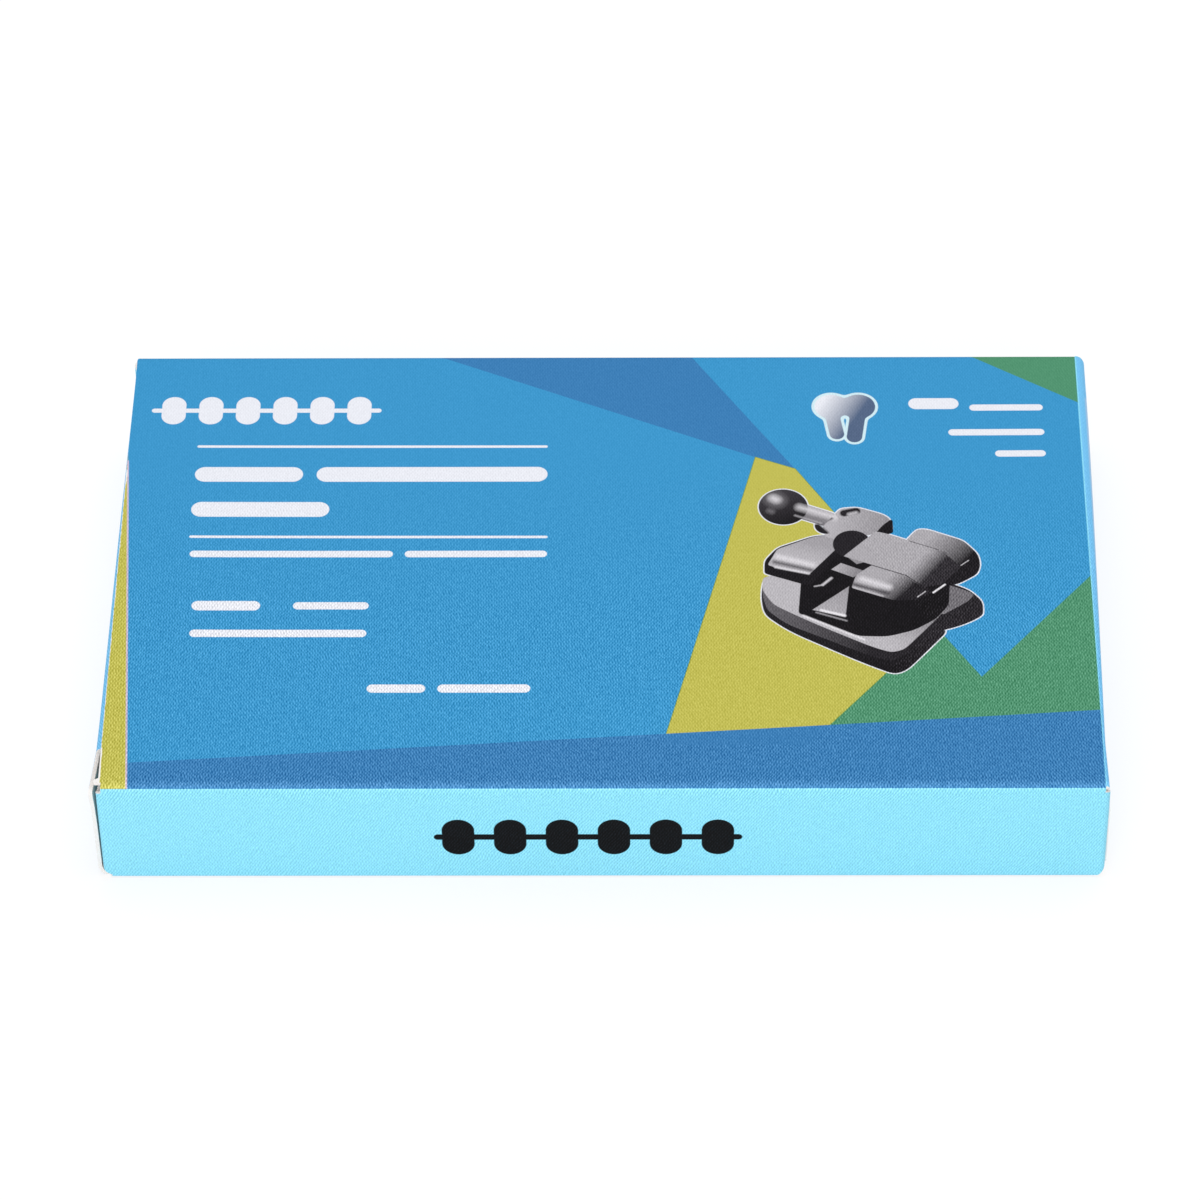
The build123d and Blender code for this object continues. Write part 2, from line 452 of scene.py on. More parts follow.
def joined(shapes):
    whole = shapes[0]
    for shape in shapes[1:]:
        whole = number(art, "MAXIMUM", whole, shape)
    return whole


def lay_ink(under, colour, inside, grow=0.0, blur=0.08, within=None):
    """Lays a colour over what is printed so far, wherever a place is inside the shape. With a
    wide blur it is a soft tone, which a second shape can hold within its own sharp edge."""
    cover = number(art, "MULTIPLY_ADD", inside, 1 / blur, 0.5 + grow / blur)
    if within is not None:
        edge_sharpness = 12.0
        held_in = number(art, "MULTIPLY_ADD", within, edge_sharpness, 0.5)
        cover = number(art, "MINIMUM", cover, held_in)
    mix = add_node(art, "ShaderNodeMix", {0: cover}, data_type="RGBA")
    for socket, value in ((mix.inputs[6], under), (mix.inputs[7], colour)):
        if isinstance(value, bpy.types.NodeSocket):
            art.links.new(value, socket)
        else:
            socket.default_value = value
    return mix.outputs[2]


def grey(level):
    return ink_colour(level + 1, level - 2, level + 3)


def shaded(dark, light, towards, start, end):
    """A tone that runs from one colour to another as a place moves along a direction."""
    size = hypot(*towards)
    along = vector(art, "DOT_PRODUCT", place, (towards[0] / size, towards[1] / size, 0))
    share = number(art, "MULTIPLY_ADD", along, 1 / (end - start), -start / (end - start))
    mix = add_node(art, "ShaderNodeMix", {0: share, 6: dark, 7: light}, data_type="RGBA")
    return mix.outputs[2]


crease_end = 48.97
free_end = 49.6
crease_middle = 30.09
lid_print_start = 49.1
lid_print_end = 65.4
half_lid_print = 29.9
flap_print_end = 53.5
past_tips = 75
top_ground = oblong(-free_end, crease_end, -crease_middle, crease_middle)
base_ground = oblong(-crease_end, free_end, -102.7, -42.9)
right_lid_ground = oblong(lid_print_start, lid_print_end, -half_lid_print, half_lid_print)
left_lid_ground = oblong(-lid_print_end, -lid_print_start, -103.5, -43)
bare_flaps = oblong(flap_print_end, past_tips, 30.3, 43.4, where=mirrored_place)
bare_tabs = oblong(lid_print_end, past_tips, 0, 103, where=mirrored_place)
bare_glue = oblong(-50, 50, -112, -103.4)
printed = lay_ink(pale_cyan, sky_blue, joined([top_ground, base_ground]))
# The lids get their pale cyan darkened by painted shade.
printed = lay_ink(printed, lid_cyan_with_painted_shade, joined([right_lid_ground, left_lid_ground]))
printed = lay_ink(printed, paper_white, joined([bare_flaps, bare_tabs, bare_glue]))

corner_triangle = field([(37.26, 30.5), (49.6, 22.7), (49.6, 30.5)])
back_wedge = field([(-18.5, 30.55), (15.46, 15.27), (19.49, 13.6), (8.55, 30.55)])
left_hill = field([(21.2, -23.2), (42.4, -23.2), (33.2, -8.6)])
right_hill = field([(31.0, -23.2), (49.6, -23.2), (49.6, -0.95)])
kite = field([(5.91, -24.5), (20.1, -24.5), (33.2, -8.6), (19.49, 13.6), (15.46, 15.27)])
front_band = field([(-50, -31), (50, -31), (50, -19.86), (-50, -27.0)])
end_wedge = field([(-50, -31), (-46.36, -31), (-46.36, -30.09), (-49.1, 14.8), (-50, 29.5)])
greens = joined([corner_triangle, left_hill, right_hill])
printed = lay_ink(printed, leaf_green, number(art, "MINIMUM", top_ground, greens))
printed = lay_ink(printed, deep_blue, number(art, "MINIMUM", top_ground, back_wedge))
printed = lay_ink(printed, olive_shade, kite, grow=0.07)
printed = lay_ink(printed, olive_yellow, kite)
printed = lay_ink(printed, deep_blue, number(art, "MINIMUM", top_ground, front_band))
printed = lay_ink(printed, olive_yellow, number(art, "MINIMUM", top_ground, end_wedge))
printed = lay_ink(printed, pink_line, bar((-46.36, -30.0), (-49.1, 14.8), 0.085))


def pegs(first, pitch, count, middle, half_height, half_width, half_string):
    """A row of round-ended upright pegs strung on a line that runs a little past both ends."""
    across, along, _ = add_node(art, "ShaderNodeSeparateXYZ", {0: place}).outputs
    repeated = number(art, "WRAP", across, first + pitch / 2, first - pitch / 2)
    from_peg = number(art, "ABSOLUTE", number(art, "SUBTRACT", repeated, first))
    up = number(art, "ABSOLUTE", number(art, "SUBTRACT", along, middle))
    half_straight = half_height - half_width
    past_straight = number(art, "MAXIMUM", number(art, "SUBTRACT", up, half_straight), 0)
    away = add_node(art, "ShaderNodeCombineXYZ", {0: from_peg, 1: past_straight}).outputs[0]
    peg = number(art, "SUBTRACT", half_width, vector(art, "LENGTH", away))
    last = first + pitch * (count - 1)
    row = oblong(first - pitch / 2, last + pitch / 2, middle - 5, middle + 5)
    pegs_in_row = number(art, "MINIMUM", peg, row)
    string = bar((first - 2, middle), (last + 2, middle), half_string)
    return joined([pegs_in_row, string])


# Plain white bars in rows on the top panel, each from its left end to its right end, with the
# height of its middle line and half its thickness. A row of pegs stands over them, and a
# black one is on the front panel.
bar_rows = [
    (-42.1, -31.0, 12.9, 1.05),
    (-29.6, -5.9, 12.9, 1.05),
    (-42.2, -28.1, 7.9, 1.05),
    (-42.0, -21.4, 1.6, 0.45),
    (-20.2, -5.8, 1.6, 0.45),
    (-41.4, -34.5, -5.6, 0.65),
    (-31.2, -23.6, -5.6, 0.5),
    (-41.4, -23.7, -9.4, 0.5),
    (-23.4, -17.6, -16.9, 0.55),
    (-16.4, -7.2, -16.9, 0.55),
    (31.4, 36.6, 23.0, 0.8),
    (37.7, 45.3, 22.4, 0.45),
    (35.4, 45.3, 18.8, 0.45),
    (40.1, 45.3, 15.7, 0.45),
]
bars = [bar((x0 + r, y), (x1 - r, y), r) for x0, x1, y, r in bar_rows]
rules = [bar((-41.9, 16.92), (-6.1, 16.88), 0.17), bar((-42.0, 4.02), (-5.95, 3.98), 0.17)]
top_pegs = pegs(-44.8, 3.85, 6, 22.15, 2.0, 1.25, 0.3)
printed = lay_ink(printed, white_ink, joined(bars + rules + [top_pegs]))
front_pegs = pegs(-14.2, 5.1, 6, -on_wall(5.95), 2.55, 1.6, 0.4)
printed = lay_ink(printed, black_ink, front_pegs)

# A plain tooth in a pale outline.
crown = number(art, "SMOOTH_MAX", disc((23.4, 22.6), 1.75), disc((26.2, 22.6), 1.75), 0.9)
roots = joined([bar((23.5, 21.2), (23.9, 18.6), 0.75), bar((26.1, 21.2), (25.7, 18.2), 0.8)])
tooth = number(art, "SMOOTH_MAX", crown, roots, 0.5)
printed = lay_ink(printed, ink_colour(205, 232, 240), tooth, grow=0.3)
tooth_tone = shaded(ink_colour(82, 100, 130), white_ink, (-1, 0.55), -12.6, -8.4)
printed = lay_ink(printed, tooth_tone, tooth)


# The laminate has a fine slanted grain, strongest towards the front and calmer on the yellow;
# its lighter and darker flecks are partly the grain's own tone and partly painted sheen off
# the gloss. The ink is rubbed along the front crease and frayed at the top panel's raw edge,
# and a few dark specks lie on it.
def noise(tree, where, scale, detail):
    settings = {"Vector": where, "Scale": scale, "Detail": detail}
    return add_node(tree, "ShaderNodeTexNoise", settings).outputs[0]


_, flat_along, _ = add_node(art, "ShaderNodeSeparateXYZ", {0: place}).outputs
patches = held(art, number(art, "MULTIPLY_ADD", noise(art, place, 0.09, 2.0), 2.4, -0.7))
fibres = noise(art, place, 3.2, 3.0)
wander = noise(art, place, 0.8, 1.0)
specks = noise(art, place, 2.6, 1.0)
on_top = held(art, number(art, "MULTIPLY_ADD", flat_along, 4.0, 4 * half_top + 2.5))


def threads(across, along, swing):
    """Fine waves, so many to the millimetre each way, that wander as they go."""
    phase = vector(art, "DOT_PRODUCT", place, (2 * pi * across, 2 * pi * along, 0))
    return number(art, "SINE", number(art, "MULTIPLY_ADD", wander, swing, phase))


threads_across = 3.0
threads_along = 1.8
thread_wander = 10
left_share = number(art, "MULTIPLY_ADD", patches, 0.5, 0.5)
right_share = number(art, "MULTIPLY_ADD", patches, -0.5, 1)
one_way = threads(threads_across, -threads_along, thread_wander)
leaning_left = number(art, "MULTIPLY", one_way, left_share)
other_way = threads(threads_across, threads_along, -thread_wander)
leaning_right = number(art, "MULTIPLY", other_way, right_share)
crossing = number(art, "MULTIPLY_ADD", threads(3.75, 0.1, 8), 0.7, leaning_right)
crossing_share = number(art, "MULTIPLY_ADD", on_top, 0.55, 0.45)
grain = number(art, "MULTIPLY_ADD", crossing, crossing_share, leaning_left)
fibre_share = number(art, "MULTIPLY_ADD", on_top, 2.0, 2.0)
grain = number(art, "MULTIPLY_ADD", number(art, "SUBTRACT", fibres, 0.5), fibre_share, grain)
front_half = held(art, number(art, "MULTIPLY_ADD", flat_along, -1 / 24, 0.62))
from_crease = number(art, "ABSOLUTE", number(art, "ADD", flat_along, crease_middle))
near_crease = held(art, number(art, "MULTIPLY_ADD", from_crease, -0.6, 1.4))
front_panel_depth = 0.05
top_back_depth = 0.009
top_front_gain = 0.044
crease_gain = 0.016
top_change = top_back_depth - front_panel_depth
# How strong the grain and its painted sheen are: more towards the front and near the front crease, less
# on the yellow.
depth_of_grain_and_sheen = number(art, "MULTIPLY_ADD", front_half, top_front_gain, top_change)
depth_of_grain_and_sheen = number(art, "MULTIPLY_ADD", depth_of_grain_and_sheen, on_top, front_panel_depth)
depth_of_grain_and_sheen = number(art, "MULTIPLY_ADD", near_crease, crease_gain, depth_of_grain_and_sheen)
calmer = number(art, "MULTIPLY_ADD", held(art, number(art, "MULTIPLY", kite, 10)), -0.45, 1)
depth_of_grain_and_sheen = number(art, "MULTIPLY", depth_of_grain_and_sheen, calmer)
near_front = held(art, number(art, "MULTIPLY_ADD", flat_along, -1.6, -46.5))
rubbed = number(art, "MULTIPLY", near_front, on_top)
rubbed = number(art, "MULTIPLY", rubbed, number(art, "MULTIPLY_ADD", specks, 0.16, -0.02))
lift = number(art, "MULTIPLY_ADD", fibres, 0.03, -0.015)
# The grain with its painted sheen is added to the tone as a lift.
lift = number(art, "ADD", number(art, "MULTIPLY_ADD", grain, depth_of_grain_and_sheen, lift), rubbed)
screen_gamma = 2.2
evened = add_node(art, "ShaderNodeGamma", {0: printed, 1: 1 / screen_gamma})
lifted_tone = vector(art, "ADD", evened.outputs[0], lift)
toned = add_node(art, "ShaderNodeGamma", {0: lifted_tone, 1: screen_gamma}).outputs[0]
# A thin pale line along the front panel's foot crease: partly rubbed wear, partly painted highlight on
# the crease's lit upper side.
foot_line = bar((-48.8, -wall_end - 0.3), (48.6, -wall_end - 0.3), 0.06)
pale_wear_and_highlight = ink_colour(196, 240, 252)
grit_grey = ink_colour(38, 84, 118)
pale_lid_crease_tone = ink_colour(190, 212, 238)
grit_radius = 0.0045
worn_and_highlit = lay_ink(toned, pale_wear_and_highlight, foot_line, blur=0.2)
grit = add_node(art, "ShaderNodeTexVoronoi", {"Vector": place, "Scale": 0.055}).outputs[0]
worn_and_highlit = lay_ink(worn_and_highlit, grit_grey, number(art, "SUBTRACT", grit_radius, grit), blur=0.004)
free_rim = oblong(-free_end, -49.13, -29.6, 13.6)
ear_rim = field([(-50.0, -29.6), (-49.0, -29.6), (-49.03, -24.8), (-50.0, -24.8)])
chafed = bar((-49.25, 11.6), (-49.25, 13.4), 0.2)
frayed = joined([free_rim, ear_rim, chafed])
frayed = number(art, "ADD", frayed, number(art, "MULTIPLY_ADD", specks, 0.16, -0.08))
# A soft paler line along the right lid's crease.
lid_line = bar((50.15, -29.7), (50.1, 24.0), 0.12)
worn_and_highlit = lay_ink(worn_and_highlit, pale_lid_crease_tone, lid_line, blur=0.5)
finished_print = lay_ink(worn_and_highlit, paper_white, frayed, blur=0.05)
height_of_grain = number(art, "MULTIPLY_ADD", fibres, 0.6, number(art, "MULTIPLY", grain, 0.2))
dullness = number(art, "MULTIPLY_ADD", fibres, 0.1, 0.4)
coated = add_node(
    art,
    "ShaderNodeBsdfPrincipled",
    {
        "Base Color": finished_print,
        "Roughness": number(art, "MULTIPLY_ADD", patches, 0.08, dullness),
        "Specular IOR Level": 0.07,
        "Normal": add_node(
            art, "ShaderNodeBump", {"Height": height_of_grain, "Strength": 0.12, "Distance": 0.00004}
        ).outputs[0],
    },
)
add_node(art, "ShaderNodeOutputMaterial", {0: coated.outputs[0]})

# A plain steel clip is printed right of the middle: a pad with a bright lip, a block with a
# slot and four wings, a sliding cover and a ball on a short stem. That patch of the top panel
# has a copy of the print as its finish, with the clip laid in before the grain.
patch_left = 15
patch_right = 40
patch_near = -19.6
patch_far = 14.7
clip_card = printed_card.copy()
clip_card.name = "printed card face with the clip"
art = clip_card.node_tree
place = art.nodes[place.node.name].outputs[0]
printed = art.nodes[printed.node.name].outputs[2]
pad = joined([
    field([(16.1, -2.0), (15.7, -4.4), (16.1, -6.9), (18.2, -9.0), (27.2, -14.4), (28.8, -15.1),
           (30.4, -14.5), (31.7, -12.8), (34.4, -9.5), (26, 2)], 0.8),
    field([(30, -10), (34.7, -8.95), (37.1, -7.8), (38.0, -7.0), (38.0, -5.2), (36.8, -3.6),
           (35, -2.6), (28, 0)], 0.6),
])
bevel = field([(16.0, -2), (15.9, -4.3), (16.4, -6.3), (18.3, -8.2), (27.2, -12.9), (28.7, -13.3),
               (30.6, -12), (26, 2)], 0.5)
lip = joined([
    field([(16.0, -1.8), (15.95, -3.6), (17.0, -5.5), (19.6, -7.3), (27.2, -11.6), (28.7, -12.1),
           (30.2, -11.6), (31.2, -10.3), (34.0, -7.0), (26, 2)], 0.5),
    field([(28, -6), (34.0, -6.95), (36.7, -5.0), (37.2, -4.2), (36.0, -3.3), (34.6, -2.8),
           (28, 0)], 0.4),
])
block = joined([
    field([(19.85, -2), (19.5, -6.7), (25.4, -9.85), (28.3, -9.95), (31.0, -9.1), (33.3, -7.5),
           (34.6, -5.6), (34.8, -2.4), (28, 1)], 0.4),
    field([(19.9, -3.2), (25.0, -3.4), (27.0, -0.2), (24.3, 1.4), (23.4, 2.4), (20.5, -1.0)]),
])
slot_floor = field([(20.9, -6.25), (24.2, -7.2), (24.65, -3.0)])
slot_back = field([(22.9, -0.65), (25.1, -1.75), (26.2, -0.85), (23.9, 0.25)], 0.1)
left_wing = field([(16.15, -1.2), (20.4, -2.85), (21.2, -2.5), (23.8, 1.9), (23.4, 4.2), (21.3, 4.1),
                   (17.5, 2.4), (16.2, 0.6)], 0.5)
left_wing_top = field([(16.5, 0.0), (17.5, -0.5), (20.7, -1.3), (23.6, 2.4), (23.3, 4.2), (21.3, 4.0),
                       (17.5, 2.2)], 0.4)
hook = field([(22.1, 5.3), (22.4, 3.9), (24.0, 3.4), (27.6, 4.3), (29.2, 4.9), (29.1, 6.3), (28.5, 7.0),
              (25.7, 8.1), (24.0, 7.9)], 0.5)
hook_end = field([(27.1, 4.5), (28.5, 4.1), (29.3, 4.5), (29.3, 6.2), (28.9, 6.5), (28.3, 5.6)], 0.2)
cup = disc((25.1, 2.85), 1.95)
stem = bar((19.6, 7.75), (22.7, 6.4), 1.05)
collar = disc((22.5, 5.5), 1.15)
ball = disc((18.2, 8.15), 2.5)
right_wing = field([(30.5, 3.3), (32.6, -0.6), (34.4, -3.0), (35.6, -2.8), (37.6, -1.4), (38.0, -0.2),
                    (37.8, 1.4), (36.4, 3.3), (32.6, 5.0), (31.7, 4.9)], 0.5)
lower_wing = field([(24.9, -3.2), (29.2, -5.0), (31.6, -4.9), (33.0, -3.8), (32.2, -3.0), (30.4, -1.4),
                    (27.1, 0.0), (25.4, -1.4)], 0.4)
cover = joined([
    field([(24.2, 1.2), (30.4, -1.45), (31.4, -1.7), (34.2, 0.2), (34.6, 1.7), (28.4, 4.45),
           (27.5, 4.65)], 0.2),
    field([(29.9, -1.25), (32.1, -3.2), (34.0, -2.8), (36.0, -0.4), (34.4, 1.6), (31, 0)], 0.3),
])
whole_clip = joined([pad, block, left_wing, hook, collar, stem, ball, right_wing, cover])
printed = lay_ink(printed, white_ink, whole_clip, grow=0.12)
for shape, dark, light, towards, start, end in (
    (pad, 34, 15, (-0.3, -1), 0, 6),
    (bevel, 100, 33, (1, -0.2), 16.5, 28.5),
    (lip, 182, 110, (1, 0.9), 14.0, 22.0),
    (block, 13, 13, (1, 0), 0, 1),
    (slot_floor, 174, 148, (0.5, 1), 3.4, 8.4),
    (slot_back, 172, 124, (1, -0.4), 21.8, 24.6),
    (left_wing, 20, 20, (1, 0), 0, 1),
    (left_wing_top, 180, 158, (0.35, 1), 7.5, 10.0),
    (stem, 110, 150, (0.4, 1), 13.4, 15.0),
    (ball, 15, 54, (-0.4, 1), -1.6, 2.6),
    (hook, 176, 140, (1, -0.2), 21.5, 28.0),
    (hook_end, 17, 17, (1, 0), 0, 1),
    (cup, 30, 30, (1, 0), 0, 1),
    (right_wing, 20, 168, (-0.75, 0.65), -27.2, -22.5),
    (lower_wing, 30, 168, (-0.75, 0.65), -25.4, -22.8),
    (cover, 42, 168, (-0.8, 0.6), -27.15, -25.0),
):
    printed = lay_ink(printed, shaded(grey(dark), grey(light), towards, start, end), shape)

# Soft lights and darks on the clip's rounded edges, each kept within the shape that it is on.
for start, end, half_width, blur, level, shape in (
    ((17.3, 9.3), (17.5, 9.1), 0.45, 2.0, 140, ball),
    ((17.2, 9.4), (17.5, 9.2), 0.3, 1.0, 224, ball),
    ((16.8, 7.6), (17.0, 7.5), 0.1, 0.9, 128, ball),
    ((19.9, 8.1), (23.4, 6.7), 0.3, 0.9, 214, stem),
    ((19.4, 6.95), (22.0, 5.85), 0.05, 0.35, 176, stem),
    ((21.6, 5.3), (22.3, 4.4), 0.45, 0.3, 28, collar),
    ((22.0, 5.9), (23.1, 6.5), 0.12, 0.3, 60, hook),
    ((24.4, 7.25), (25.6, 7.55), 0.45, 0.2, 30, hook),
    ((24.9, 7.1), (25.6, 7.3), 0.22, 0.3, 176, hook),
    ((17.6, 1.15), (21.0, 0.0), 0.28, 0.6, 216, left_wing_top),
    ((17.2, 0.4), (20.9, -0.75), 0.2, 0.5, 84, left_wing_top),
    ((17.3, -0.3), (20.6, -1.2), 0.12, 0.25, 216, left_wing),
    ((26.0, -2.0), (28.6, -3.1), 0.3, 0.7, 216, lower_wing),
    ((25.2, -2.75), (28.5, -4.0), 0.2, 0.5, 66, lower_wing),
    ((25.1, -3.15), (28.0, -4.35), 0.08, 0.25, 190, lower_wing),
    ((21.8, -6.3), (24.1, -7.05), 0.14, 0.25, 236, block),
    ((21.3, -6.6), (24.3, -7.75), 0.08, 0.2, 158, block),
    ((21.2, -3.0), (22.0, -2.8), 0.06, 0.2, 200, block),
    ((22.0, -2.8), (22.9, -1.85), 0.13, 0.2, 200, block),
    ((20.0, -7.05), (26.0, -10.35), 0.1, 0.25, 226, lip),
    ((27.1, -0.1), (30.4, -1.5), 0.05, 0.12, 44, whole_clip),
    ((30.4, -1.5), (32.0, -3.0), 0.05, 0.12, 30, whole_clip),
    ((30.9, 3.3), (33.8, 2.05), 0.04, 0.12, 60, whole_clip),
    ((31.5, -4.5), (32.3, -3.75), 0.05, 0.12, 206, whole_clip),
    ((33.1, -3.9), (34.3, -2.8), 0.1, 0.12, 228, whole_clip),
    ((36.0, -0.15), (36.8, 0.55), 0.04, 0.12, 210, whole_clip),
):
    printed = lay_ink(printed, grey(level), bar(start, end, half_width), blur=blur, within=shape)
art.links.new(printed, art.nodes[evened.name].inputs[0])


def bare_card(name, colour, shade, roughness, fibres_per_mm):
    """Unprinted card: white board whose fibres show in its tone and its surface."""
    bare = bpy.data.materials.new(name)
    bare.use_nodes = True
    tree = bare.node_tree
    tree.nodes.clear()
    where = add_node(tree, "ShaderNodeAttribute", attribute_name="blank").outputs["Vector"]
    where = scaled(tree, where, 1000.0)
    fine = noise(tree, where, fibres_per_mm, 4.0)
    broad = noise(tree, where, 0.3, 2.0)
    share = number(tree, "MULTIPLY_ADD", fine, 1.2, number(tree, "MULTIPLY_ADD", broad, 0.6, -0.45))
    mix = add_node(tree, "ShaderNodeMix", {0: share, 6: shade, 7: colour}, data_type="RGBA")
    board = add_node(
        tree,
        "ShaderNodeBsdfPrincipled",
        {
            "Base Color": mix.outputs[2],
            "Roughness": number(tree, "MULTIPLY_ADD", fine, 0.15, roughness),
            "Specular IOR Level": 0.3,
            "Normal": add_node(
                tree, "ShaderNodeBump", {"Height": fine, "Strength": 0.35, "Distance": 0.00005}
            ).outputs[0],
        },
    )
    add_node(tree, "ShaderNodeOutputMaterial", {0: board.outputs[0]})
    return bare


edge_white = ink_colour(250, 249, 248)
edge_shade = ink_colour(234, 228, 223)
inside_white = ink_colour(236, 234, 229)
inside_shade = ink_colour(222, 219, 212)
cut_edge = bare_card("cut edge of the card", edge_white, edge_shade, 0.75, fibres_per_mm=6.0)
card_inside = bare_card("inside of the card", inside_white, inside_shade, 0.7, fibres_per_mm=2.2)
card_finishes = [printed_card, cut_edge, card_inside]

right_side = [(45.0, -glue_end, 1.0), (48.5, -glue_start, 0), (48.6, -base_end, 0)]
right_side += [(free_edge, -base_end + 0.3, 0.3), (free_edge, -base_start - 0.3, 0.3)]
right_side += [(48.5, 0.1 - base_start, 0), (48.95, -wall_end - 0.1, 0)] + end_flap(1, -1)
right_side += [(lid_start, -half_top - 0.7, 0), (lid_start, half_top + 0.7, 0)]
right_side += end_flap(1, 1)[::-1] + [(48.75, back_edge, 0)]
left_side = [(-48.75, back_edge, 0)] + end_flap(-1, 1)
left_side += [(-48.85, half_top + 0.75, 0), (-49.08, half_top, 0.3)]
left_side += [(-49.08, 24.0, 0), (-free_edge, 14.0, 0)]
left_side += [(-free_edge, -28.75, 0), (-49.62, -29.02, 0.1), (-49.62, 0.3 - half_top, 0.15)]
left_side += [(-flap_start, 0.3 - half_top, 0)]
left_side += end_flap(-1, -1)[::-1] + [(-48.55, -wall_end, 0), (-48.75, 0.1 - base_start, 0)]
left_side += [(-lid_start, -base_start - 0.1, 0)]
left_side += [(-lid_start, -base_end, 0), (-48.5, -glue_start, 0), (-45.0, -glue_end, 1.0)]

flap_lines = creased(flap_start, crease_bend) + [52.5, 56.5, 61.0, 65.5]
panel_lines = [5.0 * step for step in range(-9, 10)]
body_lines_u = panel_lines + flap_lines + [-line for line in flap_lines]
front_creases = creased(half_top, crease_bend) + [33.4, 36.5, 39.5] + creased(wall_end, base_bend)
under_creases = [base_start + 5.0 * step for step in range(1, 12)]
under_creases += creased(base_end, crease_bend) + [106, 109]
body_lines_v = (
    [4.9 * step for step in range(-5, 6)]
    + [-line for line in front_creases + under_creases]
    + creased(half_top, crease_bend)
    + [33.4, 36.5, 39.5]
)
carton_sheet = cut_blank("carton_sheet", rounded(right_side + left_side), body_lines_u, body_lines_v)


def slack(u, v):
    """How far a panel sinks in its middle, in millimetres, where no crease holds the card."""
    half_wall = 5.9
    rows = (
        (0, half_top, 0.16),
        (wall_start + half_wall, half_wall, 0.07),
        (-wall_start - half_wall, half_wall, 0.05),
        (-(base_start + base_end) / 2, (base_end - base_start) / 2, 0.12),
    )
    for middle, half_width, sag in rows:
        across = (v - middle) / half_width
        if abs(across) < 1 and abs(u) < flap_start:
            return sag * (1 - across**2) * (1 - (u / flap_start) ** 4)
    return 0.0


dust_flap_share = carton_sheet.data.attributes.new("dust_flap", "FLOAT", "POINT")
for corner, share in zip(carton_sheet.data.vertices, dust_flap_share.data):
    u, v = corner.co.x * 1000, corner.co.y * 1000
    corner.co.z -= slack(u, v) * 0.001
    share.value = abs(u) > flap_start - 0.01 and wall_start - 0.1 < abs(v) < base_start
for face, side in zip(carton_sheet.data.polygons, carton_sheet.data.attributes["side"].data):
    u, v = face.center.x * 1000, face.center.y * 1000
    on_patch = patch_left < u < patch_right and patch_near < v < patch_far
    if side.value == printed_side and on_patch:
        side.value = clip_side
fold(
    carton_sheet,
    [
        ("Right dust flaps", (1, 0, 0), flap_start, crease_radius, flap_fold_angle, "dust_flap"),
        ("Left dust flaps", (-1, 0, 0), left_flap_start, left_flap_radius, flap_fold_angle, "dust_flap"),
        ("Glue flap", (0, -1, 0), base_end, crease_radius, pi / 2, None),
        ("Bottom panel", (0, -1, 0), wall_end, base_radius, pi / 2, None),
        ("Front panel", (0, -1, 0), half_top, crease_radius, pi / 2, None),
        ("Back panel", (0, 1, 0), half_top, crease_radius, pi / 2, None),
    ],
    card_finishes + [clip_card],
)


def part_way(value, start, end):
    """How far a value has come from a start to an end, held between nought and one."""
    return max(0, min(1, (value - start) / (end - start)))


half_lid = 29.7
right_press = 0.9
right_front_spring = 0.2
right_foot_share = 0.5
left_press = 0.27
left_front_bulge = 0.08


def pressed_in(side, y, z):
    """How far a lid is pressed in at that depth and height, in millimetres. The right one gives
    most near its front corner, over the dust flap, and the left one more and more to the back."""
    at_front = part_way(y, -26, -half_lid)
    if side > 0:
        press = right_press * part_way(y, 24, -24) ** 1.55
        press -= right_front_spring * part_way(y, -24, -half_lid)
        return press * (1 - right_foot_share * part_way(z, 11.8, 10.3) * at_front)
    press = max(0, min(0.04 * (y + half_lid), left_press + 0.0081 * (y + 23)))
    return press + 0.0035 * max(0, y - 5) - left_front_bulge * at_front


# A dust flap gives with the lid in front of it, and the front panel's foot stands out a little.
front_lean = 0.2
for corner, flat_corner in zip(carton_sheet.data.vertices, carton_sheet.data.attributes["blank"].data):
    u, v = flat_corner.vector.x * 1000, flat_corner.vector.y * 1000
    y, z = corner.co.y * 1000, corner.co.z * 1000
    side = 1 if u > 0 else -1
    if abs(u) > flap_bent and wall_start - 0.1 < abs(v) < base_start:
        give = part_way(abs(u), flap_bent, flap_bent + 2) * (1 if side > 0 else z / 12)
        corner.co.x -= side * max(0, pressed_in(side, y, z)) * give * 0.001
    corner.co.y -= front_lean * (1 - z / height) * part_way(y, -28, -30) * 0.001
smooth_creases(carton_sheet)
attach(carton_sheet, "carton_body")
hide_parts("carton_body")

# Tuck lids: the same card, creased down from the top panel at the right end and up from the
# bottom panel at the left end. Each has a raw ear at both corners, where it is slit from its
# tuck tab, and the tab is creased in and curled under the panel that it closes against.
lid_radius = 1.0
lid_bend = lid_radius * pi / 2
tab_radius = 0.7
tab_fold = radians(92.04)
tab_start = lid_start + lid_bend + 10.693
tab_bent = tab_start + tab_radius * tab_fold
curl_radius = 12.107
curl_angle = radians(40.55)
tab_end = tab_bent + curl_radius * curl_angle
ear_edge = lid_start + lid_bend + 11.0
tab_shoulder = tab_start + 2.2
half_ear = 24.35
ear_flare = 0.26
flare_start = 57.5
half_tab = 28.95
half_tip = 28.05
lid_corners = [
    (lid_start, -30.0, 0),
    (lid_start + 0.6, -29.95, 0),
    (lid_start + 1.2, -half_lid, 0.4),
    (ear_edge, -half_lid, 0.9),
    (ear_edge, -half_ear, 0.1),
    (tab_shoulder, -half_ear, 0),
    (tab_shoulder, -half_tab, 0),
    (tab_end, -half_tip, 5.5),
]
lid_outline = rounded(lid_corners + [(u, -v, radius) for u, v, radius in lid_corners[::-1]])
lid_lines_u = creased(lid_start, lid_bend)[1:] + [53.5, 56.5, 59.5]
lid_lines_u += creased(tab_start, tab_radius * tab_fold)
lid_lines_u += [tab_bent + (tab_end - tab_bent) * step / 10 for step in range(1, 10)]
lid_lines_v = [4.0 * step for step in range(-7, 8)] + [half_ear + 0.3, -half_ear - 0.3]


